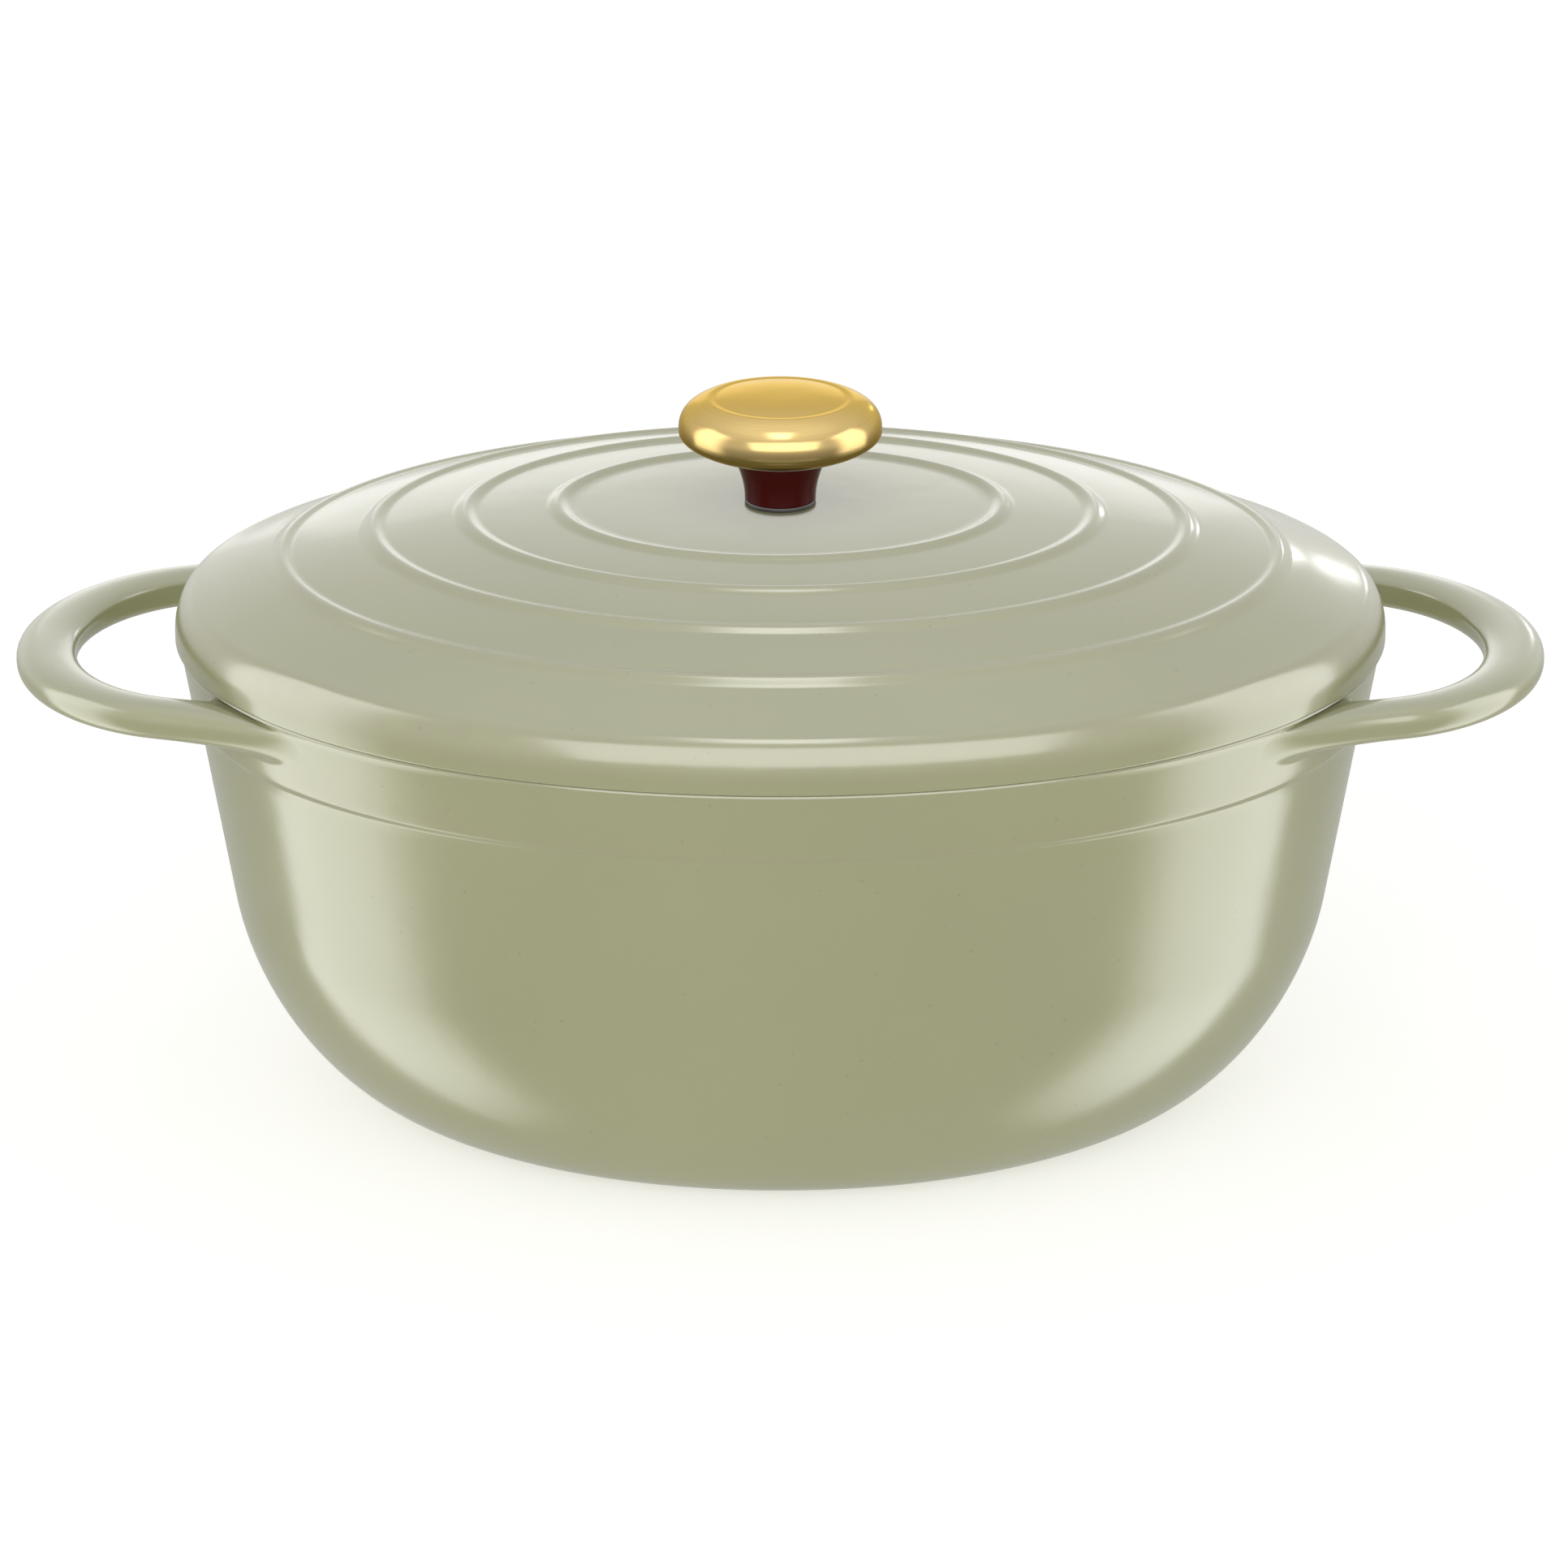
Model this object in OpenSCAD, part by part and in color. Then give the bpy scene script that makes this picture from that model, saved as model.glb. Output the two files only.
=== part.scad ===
/* [Pot] */
// Length of the pot over its rim, without the handles
pot_len = 278; // [220:1:340]
// Depth of the pot over its rim, front to back
pot_dep = 218; // [170:1:270]
// Height of the pot from its base to its rim
pot_h = 111; // [90:1:150]
// Thickness of the cast wall
wall = 4; // [3:0.5:6]
// Thickness of the cast base
base_t = 4.5; // [3.5:0.5:7]
// Lean of the wall from upright, in degrees
wall_lean = 9.4; // [4:0.1:12]
// Width of the rounded corner between the base and the wall, at the ends of the pot
corner_w = 34; // [25:1:45]
// Height of that corner
corner_h = 49; // [35:1:60]
// Roundness of that corner: 2 is an ellipse, a higher value is squarer
corner_power = 1.9; // [1.7:0.05:2.4]
// Height of the thicker band under the rim
band_h = 15.5; // [12:0.5:22]
// How far the band stands proud of the wall
band_t = 1; // [0.5:0.1:2]
// Rounding of the rim's outer edge
rim_round = 1.2; // [0.5:0.1:2]

/* [Handles] */
// Reach of a handle past the end of the rim
handle_reach = 38; // [30:1:50]
// Width of a handle over its two arms
handle_w = 108; // [90:1:125]
// Width of the bar at the tip of the handle, seen from above
bar_w = 14; // [11:0.5:16]
// Width of each arm of the handle, seen from above
arm_w = 11.5; // [9:0.5:14]
// Thickness of the handle
bar_t = 8.6; // [7:0.1:10]
// Depth of the top of the handle under the rim
bar_drop = 0.5; // [0.3:0.1:4]
// How far the widest place of the handle lies in from the end of the rim
handle_in = 9; // [6:1:12]

/* [Lid] */
// How far the lid's edge stands past the rim
lid_overhang = 1; // [0.5:0.1:3]
// Height of the lid's edge
edge_h = 12.5; // [9:0.5:14]
// Height of its upright foot
edge_foot = 2.5; // [1.5:0.5:5]
// Width of the round over that foot
edge_round = 6.5; // [3:0.5:8]
// Height of the lid's top above the rim
lid_rise = 31.2; // [27:0.1:45]
// Flatness of the dome: 2 is a parabola, a higher value is flatter with a steeper shoulder
dome_power = 3; // [2.6:0.1:5]
// Thickness of the cast lid
lid_t = 4; // [3:0.5:6]
// Number of ridges round the lid
ridge_count = 4; // [0:1:5]
// Distance of the outermost ridge from the lid's edge, at the ends of the lid
ridge_in = 24.5; // [18:0.5:30]
// Distance between ridges, at the ends of the lid
ridge_pitch = 21.5; // [15:0.5:25]
// Height of a ridge
ridge_h = 1; // [0.5:0.1:2]
// Width of a ridge at its foot
ridge_w = 6; // [4:0.5:12]
// Depth of the lip that keeps the lid in place
lip_h = 6; // [4:0.5:9]
// Thickness of that lip
lip_t = 4; // [3:0.5:6]
// Clearance between the lip and the inside of the pot, at the foot of the lip
lip_gap = 1.2; // [0.8:0.1:2]

/* [Knob] */
// Diameter of the knob's cap
cap_d = 46.8; // [40:0.1:56]
// Height of the cap's flare, from its foot to its widest ring
flare_h = 6.4; // [5:0.1:10]
// Height of the cap's crown above its widest ring
crown_h = 9.2; // [7:0.1:14]
// Fullness of the crown: 2 is an ellipse, a higher value is flatter on top
crown_power = 2.8; // [2:0.1:4]
// Thickness of the cap's sheet metal
cap_t = 1.2; // [0.8:0.1:1.6]
// Diameter of the neck where the cap ends
neck_top_d = 21.6; // [19:0.1:26]
// Height of the neck above the lid
neck_h = 11; // [8:0.1:16]
// Diameter of the neck's foot
neck_foot_d = 16.4; // [15:0.1:20]
// Thickness of the ring under the neck
gasket_t = 0.8; // [0.5:0.1:1.5]
// Clearance between the parts of the knob
knob_gap = 0.05; // [0.02:0.01:0.1]

/* [Screw] */
// Diameter of the screw's shank
screw_d = 5.8; // [4:0.1:6]
// Diameter of the screw's head
head_d = 11; // [9:0.5:13]
// Height of the screw's head
head_h = 3.2; // [2.5:0.1:4.5]
// Width of the driver slot
slot_w = 1.6; // [1.2:0.1:2]
// Depth of the driver slot
slot_h = 1.5; // [1:0.1:2]
// Reach of the screw into the knob
screw_reach = 12; // [8:0.5:13]
// Wall of the threaded insert
insert_wall = 1.7; // [1.2:0.1:2]
// Length of the insert past the screw's end
insert_spare = 1; // [0.5:0.5:3]
// Outer diameter of the washer
washer_d = 15; // [14:0.5:20]
// Thickness of the washer
washer_t = 1.2; // [0.8:0.1:2]
// Clearance of the screw in the lid and the washer
hole_gap = 0.4; // [0.2:0.1:0.8]
// Clearance of the screw in the insert
thread_gap = 0.05; // [0.02:0.01:0.1]

/* [Hidden] */
$fn = 96;

sage = [0.62, 0.62, 0.49];
gold = [0.80, 0.64, 0.33];
maroon = [0.18, 0.04, 0.04];
brass = [0.72, 0.58, 0.30];
charcoal = [0.12, 0.12, 0.12];
steel = [0.70, 0.70, 0.70];

// Overlap that carries a cut or a joint past a face
over = 1;
// Steps round a rounded corner, along the dome and its edge, and round a small edge
corner_steps = 14;
dome_steps = 6;
edge_steps = 4;

// Slope of the pot's wall, and its half length at the base if the wall ran on down without the corner
slope = tan(wall_lean);
wall_foot = pot_len / 2 - band_t - slope * pot_h;
base_a = wall_foot - corner_w;
inner_foot = wall_foot - wall / cos(wall_lean);
// Half length and half depth of the pot's opening
mouth_a = inner_foot + slope * pot_h;
mouth_b = mouth_a - (pot_len - pot_dep) / 2;

// Lid sizes: its half length and half depth, the height of its top, and the flat that the knob sits on
lid_a = pot_len / 2 + lid_overhang;
lid_b = pot_dep / 2 + lid_overhang;
lid_top = pot_h + lid_rise;
dome_a = lid_a - edge_round;
dome_rise = lid_rise - edge_h;
seat_a = max(washer_d, neck_foot_d);
// The pot's wall leans in, so the lip's gap is set at the lip's foot
lip_a = mouth_a - slope * lip_h - lip_gap;
lip_b = mouth_b - slope * lip_h - lip_gap;
hollow_a = lip_a - lip_t;
hollow_b = lip_b - lip_t;
hollow_top = lid_top - lid_t;

// Handle sizes: the bar lies between two ovals round one middle
handle_x = pot_len / 2 - handle_in;
handle_a = handle_in + handle_reach;
handle_b = handle_w / 2;
gap_a = handle_a - bar_w;
gap_b = handle_b - arm_w;
handle_z = pot_h - bar_drop - bar_t / 2;

// Heights in the knob, from the lid's top
neck_foot_z = lid_top + gasket_t;
cap_foot_z = lid_top + neck_h;
ring_z = cap_foot_z + flare_h;
neck_r = neck_top_d / 2 - knob_gap;
core_top = crown_z(neck_r, cap_t) - knob_gap;
insert_h = screw_reach + insert_spare;
insert_d = screw_d + 2 * thread_gap + 2 * insert_wall;
washer_z = hollow_top - washer_t;
hole_d = screw_d + 2 * hole_gap;

// Share of the corner's width that is reached at a share w of its height: a quarter of a superellipse
function corner_share(w, p) = pow(1 - pow(1 - w, p), 1 / p);
// Rise from 0 to 1 with level ends
function ease(t) = let(u = min(max(t, 0), 1)) u * u * (3 - 2 * u);
// Half length of the outside of the pot at height z, without the band
function wall_a(z) = base_a + corner_w * corner_share(min(z / corner_h, 1), corner_power) + slope * z;
// Half length of the inside of the pot at height z
function cavity_a(z) = base_a + (inner_foot - base_a)
    * corner_share(min((z - base_t) / (corner_h - base_t), 1), corner_power) + slope * z;
// How far the dome has come down at a distance x from its middle, from 0 at the knob's seat to 1 at the edge
function dome_share(x) = pow(max(x - seat_a, 0) / (dome_a - seat_a), dome_power);
// Height of the lid's dome at a distance x from its middle, without the ridges
function dome_z(x) = lid_top - dome_rise * dome_share(x);
// Slope of that dome
function dome_slope(x) = dome_rise * dome_power / (dome_a - seat_a)
    * pow(max(x - seat_a, 0) / (dome_a - seat_a), dome_power - 1);
// Height of the hollow under the lid, which keeps the lid's thickness square to the dome
function hollow_z(x) = dome_z(x) - lid_t * sqrt(1 + pow(dome_slope(x), 2));
// Distance of a ridge from the middle of the lid, counted from the innermost
function ridge_x(i) = lid_a - ridge_in - ridge_pitch * (ridge_count - 1 - i);
// Point of the cap's crown at angle t, drawn in by d all round
function crown_point(t, d) = [(cap_d / 2 - d) * pow(cos(t), 2 / crown_power),
    ring_z + (crown_h - d) * pow(sin(t), 2 / crown_power)];
// Height of that crown at a distance r from its axis
function crown_z(r, d) = ring_z
    + (crown_h - d) * pow(1 - pow(r / (cap_d / 2 - d), crown_power), 1 / crown_power);
// Point at t of a curve that leaves p0 towards p1 and comes to p2 from there
function bend(p0, p1, p2, t) = (1 - t) * (1 - t) * p0 + 2 * t * (1 - t) * p1 + t * t * p2;

// A turned shape of half length a, drawn in front to back to half depth b, in four quarters
module oval(a, b) {
    for (quarter = [0:3])
        scale([1, b / a, 1]) rotate([0, 0, 90 * quarter]) rotate_extrude(angle = 90) children();
}

// Outline of the pot's outside: base, corner, wall, band and rim
module pot_outline() {
    band_z = pot_h - band_h;
    corner = [for (i = [0:corner_steps])
        let(z = corner_h * (1 - cos(90 * i / corner_steps))) [wall_a(z), z]];
    step = [for (i = [0:edge_steps])
        let(t = i / edge_steps, z = band_z + 2 * band_t * (t - 1)) [wall_a(z) + band_t * ease(t), z]];
    rim = [for (i = [0:edge_steps]) let(t = 90 * i / edge_steps)
        [pot_len / 2 - rim_round * (1 - cos(t)), pot_h - rim_round * (1 - sin(t))]];
    polygon(concat([[0, -over], [base_a, -over]], corner, step, rim, [[0, pot_h]]));
}

// Outline of the pot's inside, carried past the rim
module cavity_outline() {
    corner = [for (i = [0:corner_steps])
        let(z = base_t + (corner_h - base_t) * (1 - cos(90 * i / corner_steps))) [cavity_a(z), z]];
    polygon(concat([[0, base_t]], corner, [[cavity_a(pot_h + over), pot_h + over], [0, pot_h + over]]));
}

// Outline of the outside of the handle's ring: a disc with a round edge
module ring_outline() {
    edge = [for (i = [0:corner_steps]) let(t = 180 * i / corner_steps - 90)
        [handle_a - bar_t / 2 * (1 - cos(t)), bar_t / 2 * sin(t)]];
    polygon(concat([[0, -bar_t / 2]], edge, [[0, bar_t / 2]]));
}

// Outline of what is cut out of that disc, so that the bar is round on its inner side too
module gap_outline() {
    edge = [for (i = [0:corner_steps]) let(t = 180 * i / corner_steps - 90)
        [gap_a + bar_t / 2 * (1 - cos(t)), bar_t / 2 * sin(t)]];
    high = bar_t / 2 + over;
    polygon(concat([[0, -high], [gap_a + bar_t / 2, -high]], edge, [[gap_a + bar_t / 2, high], [0, high]]));
}

module handle() {
    translate([handle_x, 0, handle_z]) difference() {
        oval(handle_a, handle_b) ring_outline();
        oval(gap_a, gap_b) gap_outline();
    }
}

// The inner half of each handle's ring lies in the pot's hollow, and is cut off with it
module pot_body() {
    color(sage) difference() {
        union() {
            oval(pot_len / 2, pot_dep / 2) pot_outline();
            handle();
            mirror([1, 0, 0]) handle();
        }
        oval(mouth_a, mouth_b) cavity_outline();
        translate([-pot_len, -pot_dep, -2 * over]) cube([2 * pot_len, 2 * pot_dep, 2 * over]);
    }
}

// Outline of the lid's outside: knob's seat, dome with its ridges, shoulder and round edge
module lid_outline() {
    half_w = ridge_w / 2;
    feet = [for (i = [0:1:ridge_count - 1]) if (ridge_x(i) - half_w > seat_a) ridge_x(i)];
    first_x = len(feet) > 0 ? feet[0] - half_w : dome_a / 2;
    last_x = len(feet) > 0 ? feet[len(feet) - 1] + half_w : dome_a / 2;
    crown = [for (i = [0:dome_steps - 1])
        let(x = seat_a + (first_x - seat_a) * i / dome_steps) [x, dome_z(x)]];
    ridges = [for (x0 = feet, i = [0:2 * edge_steps])
        let(t = i / edge_steps - 1, x = x0 + half_w * t) [x, dome_z(x) + ridge_h * (1 + cos(180 * t)) / 2]];
    shoulder = [for (i = [1:dome_steps])
        let(x = last_x + (dome_a - last_x) * i / dome_steps) [x, dome_z(x)]];
    edge = [for (i = [1:dome_steps]) let(t = 90 * i / dome_steps)
        [lid_a - edge_round * (1 - sin(t)), pot_h + edge_foot + (edge_h - edge_foot) * cos(t)]];
    polygon(concat([[0, lid_top]], crown, ridges, shoulder, edge, [[lid_a, pot_h], [0, pot_h]]));
}

// Outline of the hollow under the lid, carried down past the lip
module hollow_outline() {
    dome = [for (i = [0:2 * dome_steps])
        let(x = seat_a + (hollow_a - seat_a) * i / (2 * dome_steps)) [x, hollow_z(x)]];
    low = pot_h - lip_h - over;
    polygon(concat([[0, hollow_top]], dome, [[hollow_a, low], [0, low]]));
}

module lid() {
    color(sage) difference() {
        union() {
            oval(lid_a, lid_b) lid_outline();
            oval(lip_a, lip_b) translate([0, pot_h - lip_h]) square([lip_a, lip_h + over]);
        }
        oval(hollow_a, hollow_b) hollow_outline();
        cylinder(d = hole_d, h = lid_top + over);
    }
}

// Outline of the cap, drawn in by d all round, from its crown down to its foot
function cap_points(d) = concat(
    [for (i = [0:corner_steps - 1]) crown_point(90 - 90 * i / corner_steps, d)],
    [for (i = [0:corner_steps]) bend([cap_d / 2 - d, ring_z], [cap_d / 2 - d, (ring_z + cap_foot_z + d) / 2],
        [neck_top_d / 2, cap_foot_z + d], i / corner_steps)]);

module knob_cap() {
    inner = cap_points(cap_t);
    color(gold) rotate_extrude()
        polygon(concat(cap_points(0), [for (i = [len(inner) - 1:-1:0]) inner[i]]));
}

// The neck spreads from its foot to the cap, and a straight post carries the cap's crown
module knob_core() {
    foot_r = neck_foot_d / 2;
    flank = [for (i = [0:corner_steps]) bend([neck_r, cap_foot_z],
        [foot_r, (cap_foot_z + neck_foot_z) / 2], [foot_r, neck_foot_z], i / corner_steps)];
    color(maroon) difference() {
        rotate_extrude() polygon(concat([[0, core_top], [neck_r, core_top]], flank, [[0, neck_foot_z]]));
        translate([0, 0, neck_foot_z - over])
            cylinder(d = insert_d + 2 * knob_gap, h = insert_h + knob_gap + over);
    }
}

module knob_insert() {
    color(brass) translate([0, 0, neck_foot_z]) difference() {
        cylinder(d = insert_d, h = insert_h);
        translate([0, 0, -over]) cylinder(d = screw_d + 2 * thread_gap, h = insert_h + 2 * over);
    }
}

module knob_gasket() {
    color(charcoal) translate([0, 0, lid_top]) difference() {
        cylinder(d = neck_foot_d, h = gasket_t);
        translate([0, 0, -over]) cylinder(d = hole_d, h = gasket_t + 2 * over);
    }
}

module knob_washer() {
    color(steel) translate([0, 0, washer_z]) difference() {
        cylinder(d = washer_d, h = washer_t);
        translate([0, 0, -over]) cylinder(d = hole_d, h = washer_t + 2 * over);
    }
}

module knob_screw() {
    shank_h = neck_foot_z + screw_reach - washer_z;
    color(steel) translate([0, 0, washer_z]) difference() {
        union() {
            translate([0, 0, -head_h]) cylinder(d = head_d, h = head_h);
            translate([0, 0, -over]) cylinder(d = screw_d, h = shank_h + over);
        }
        translate([-head_d, -slot_w / 2, -head_h - over]) cube([2 * head_d, slot_w, slot_h + over]);
    }
}

pot_body();
lid();
knob_cap();
knob_core();
knob_insert();
knob_gasket();
knob_washer();
knob_screw();
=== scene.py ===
import math

import bmesh
import bpy
import numpy as np
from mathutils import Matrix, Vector


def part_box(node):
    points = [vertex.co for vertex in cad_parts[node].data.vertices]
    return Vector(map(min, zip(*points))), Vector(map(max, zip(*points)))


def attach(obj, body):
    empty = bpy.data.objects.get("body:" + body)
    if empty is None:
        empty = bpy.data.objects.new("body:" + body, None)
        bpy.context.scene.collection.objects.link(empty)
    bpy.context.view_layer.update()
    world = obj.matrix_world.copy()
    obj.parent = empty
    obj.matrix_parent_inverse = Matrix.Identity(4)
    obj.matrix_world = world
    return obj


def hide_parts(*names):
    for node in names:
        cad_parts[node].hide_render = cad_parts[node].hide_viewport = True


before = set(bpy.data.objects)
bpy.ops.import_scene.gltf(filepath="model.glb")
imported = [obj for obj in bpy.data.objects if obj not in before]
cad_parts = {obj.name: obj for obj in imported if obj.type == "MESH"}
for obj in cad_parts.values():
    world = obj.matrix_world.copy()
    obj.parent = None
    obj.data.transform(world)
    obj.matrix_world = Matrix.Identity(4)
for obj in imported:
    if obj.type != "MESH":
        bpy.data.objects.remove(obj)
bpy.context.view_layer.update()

mm = 0.001
aroundPot = 256                 # steps round the oval pieces
aroundKnob = 160                # steps round the knob's cap and neck
scene = bpy.context.scene

potLow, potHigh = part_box("pot_body")
lidLow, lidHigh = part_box("lid")
capLow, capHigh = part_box("knob_cap")
coreLow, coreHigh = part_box("knob_core")
gasketLow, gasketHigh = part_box("knob_gasket")
insertLow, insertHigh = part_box("knob_insert")
washerLow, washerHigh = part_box("knob_washer")
screwLow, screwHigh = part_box("knob_screw")
print("frame loaded:", ", ".join(sorted(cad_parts)))


# t * t * (3 - 2t), held at 0 before 0 and at 1 after 1
def ease(t):
    t = np.clip(t, 0, 1)
    return t * t * (3 - 2 * t)


# count points on the straight line from p to q
def run(p, q, count):
    t = np.linspace(0, 1, count)[:, None]
    return (1 - t) * np.array(p, float) + t * np.array(q, float)


# count points at radius r round (x, z): (x + r cos t, z + r sin t), t in degrees
def arc(x, z, r, start, end, count):
    t = np.radians(np.linspace(start, end, count))
    return np.column_stack([x + r * np.cos(t), z + r * np.sin(t)])


# count points of (1-t)^2 p + 2t(1-t) c + t^2 q, which leaves p and reaches q in line with c
def bend(p, c, q, count):
    t = np.linspace(0, 1, count)[:, None]
    p, c, q = np.array(p, float), np.array(c, float), np.array(q, float)
    return (1 - t) ** 2 * p + 2 * t * (1 - t) * c + t ** 2 * q


# a rectangle's outline as a closed ring of points, with a quarter circle of radius r in each corner
def softRectangle(xLow, xHigh, zLow, zHigh, r, count=6):
    corners = [(xHigh - r, zLow + r, -90), (xHigh - r, zHigh - r, 0),
               (xLow + r, zHigh - r, 90), (xLow + r, zLow + r, 180)]
    return np.concatenate([arc(x, z, r, t, t + 90, count) for x, z, t in corners])


# a profile of (half length a, height z) rows turned into an oval: (a cos f, k a sin f, z),
# with k the depth over the length
def ovalGrid(profile, ratio, around):
    f = np.linspace(0, 2 * math.pi, around, endpoint=False)[None, :]
    half, z = profile[:, :1], profile[:, 1:]
    depth = half * np.reshape(ratio, (-1, 1))
    return np.stack([half * np.cos(f), depth * np.sin(f), z + 0 * f], axis=-1)


# the same for a round piece, as deep as it is long: (a cos f, a sin f, z)
def turnedGrid(profile, around):
    return ovalGrid(profile, 1.0, around)


# parts is a list of (profile rows, finish number, thinness of the enamel), joined into one profile
def joinRows(parts):
    profile = np.concatenate([p for p, _, _ in parts])
    finish = np.concatenate([np.full(len(p), f) for p, f, _ in parts])
    thin = np.concatenate([np.broadcast_to(t, len(p)) for p, _, t in parts]).astype(float)
    return profile, finish, thin


# Each shell is a grid of points whose columns close on themselves: face (i, j) joins points (i, j),
# (i, j+1), (i+1, j+1) and (i+1, j). A loop shell closes along its rows too; on any other, the end
# rows shrink to a point.
def buildPiece(name, shells, materials, body, slot, *nodes, sharp=35):
    points, faces, finishes, thins = [], [], [], []
    first = 0
    for shell in shells:
        grid = shell["grid"]
        rows, cols = grid.shape[:2]
        bands = rows if shell.get("loop") else rows - 1
        i, j = np.meshgrid(np.arange(bands), np.arange(cols), indexing="ij")
        up, on = (i + 1) % rows, (j + 1) % cols
        quads = np.stack([i * cols + j, i * cols + on, up * cols + on, up * cols + j], axis=-1)
        points.append(grid.reshape(-1, 3))
        faces.append(quads.reshape(-1, 4) + first)
        finishes.append(np.repeat(np.broadcast_to(shell.get("finish", 0), rows)[:bands], cols))
        thins.append(np.repeat(np.broadcast_to(shell.get("thin", 0.0), rows), cols))
        first += rows * cols
    points, faces = np.concatenate(points), np.concatenate(faces)
    mesh = bpy.data.meshes.new(name)
    mesh.vertices.add(len(points))
    mesh.vertices.foreach_set("co", points.astype(np.float32).ravel())
    mesh.loops.add(faces.size)
    mesh.loops.foreach_set("vertex_index", faces.astype(np.int32).ravel())
    mesh.polygons.add(len(faces))
    mesh.polygons.foreach_set("loop_start", np.arange(0, faces.size, 4, dtype=np.int32))
    mesh.polygons.foreach_set("material_index", np.concatenate(finishes).astype(np.int32))
    mesh.update(calc_edges=True)
    layer = mesh.attributes.new("thin", "FLOAT", "POINT")
    layer.data.foreach_set("value", np.concatenate(thins).astype(np.float32))
    edit = bmesh.new()
    edit.from_mesh(mesh)
    bmesh.ops.remove_doubles(edit, verts=edit.verts, dist=1e-6)   # closes the poles
    bmesh.ops.recalc_face_normals(edit, faces=edit.faces)
    edit.to_mesh(mesh)
    edit.free()
    mesh.shade_smooth()
    mesh.set_sharp_from_angle(angle=math.radians(sharp))
    for material in materials:
        mesh.materials.append(material)
    piece = bpy.data.objects.new(name, mesh)
    scene.collection.objects.link(piece)
    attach(piece, body)
    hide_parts(*nodes)
    print(f"{name}: {len(mesh.polygons)} faces")
    return piece


# Node groups. Each one takes a vector and puts out a colour, a roughness and a height over the surface.

def addNode(tree, kind, values=None, **options):
    node = tree.nodes.new(kind)
    for key, value in options.items():
        setattr(node, key, value)
    for key, value in (values or {}).items():
        node.inputs[key].default_value = value
    return node


def newGroup(name, inputs, outputs):
    tree = bpy.data.node_groups.new(name, "ShaderNodeTree")
    for label, kind in inputs:
        tree.interface.new_socket(name=label, in_out="INPUT", socket_type="NodeSocket" + kind)
    for label, kind in outputs:
        tree.interface.new_socket(name=label, in_out="OUTPUT", socket_type="NodeSocket" + kind)
    return tree, addNode(tree, "NodeGroupInput"), addNode(tree, "NodeGroupOutput")


# a noise field of the given scale, stretched so that low..high becomes 0..1
def noiseMask(tree, vector, scale, low, high, detail=2.0):
    noise = addNode(tree, "ShaderNodeTexNoise", {"Scale": scale, "Detail": detail})
    spread = addNode(tree, "ShaderNodeMapRange", {"From Min": low, "From Max": high})
    tree.links.new(vector, noise.inputs["Vector"])
    tree.links.new(noise.outputs["Fac"], spread.inputs["Value"])
    return spread.outputs["Result"]


def mathNode(tree, operation, a, b):
    node = addNode(tree, "ShaderNodeMath", operation=operation)
    for socket, value in zip(node.inputs, (a, b)):
        if isinstance(value, (int, float)):
            socket.default_value = value
        else:
            tree.links.new(value, socket)
    return node.outputs["Value"]


# colour a where the mask is 0 and colour b where it is 1
def mixColours(tree, mask, a, b):
    node = addNode(tree, "ShaderNodeMix", data_type="RGBA")
    tree.links.new(mask, node.inputs["Factor"])
    for socket, value in ((node.inputs[6], a), (node.inputs[7], b)):
        if isinstance(value, tuple):
            socket.default_value = (*value, 1)
        else:
            tree.links.new(value, socket)
    return node.outputs[2]


finishOutputs = [("Colour", "Color"), ("Roughness", "Float"), ("Height", "Float")]
# scales are in noise cells per metre
enamelLook = {
    "cloudScale": 13,
    "wornScale": 190,             # the broken patches where the coat is thin
    "speckScale": 330.0,
    "speckEdge": (0.17, 0.07),    # a speck fades in between these distances from its cell's middle
    "speckFew": 0.9,              # only the cells above this draw one
    "smearScale": 34,
    "smearDeep": 0.05,
    "waveScale": 46,
    "peelScale": 210,
    "peelShare": 0.22,            # height of the fine peel next to the waves
}


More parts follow.
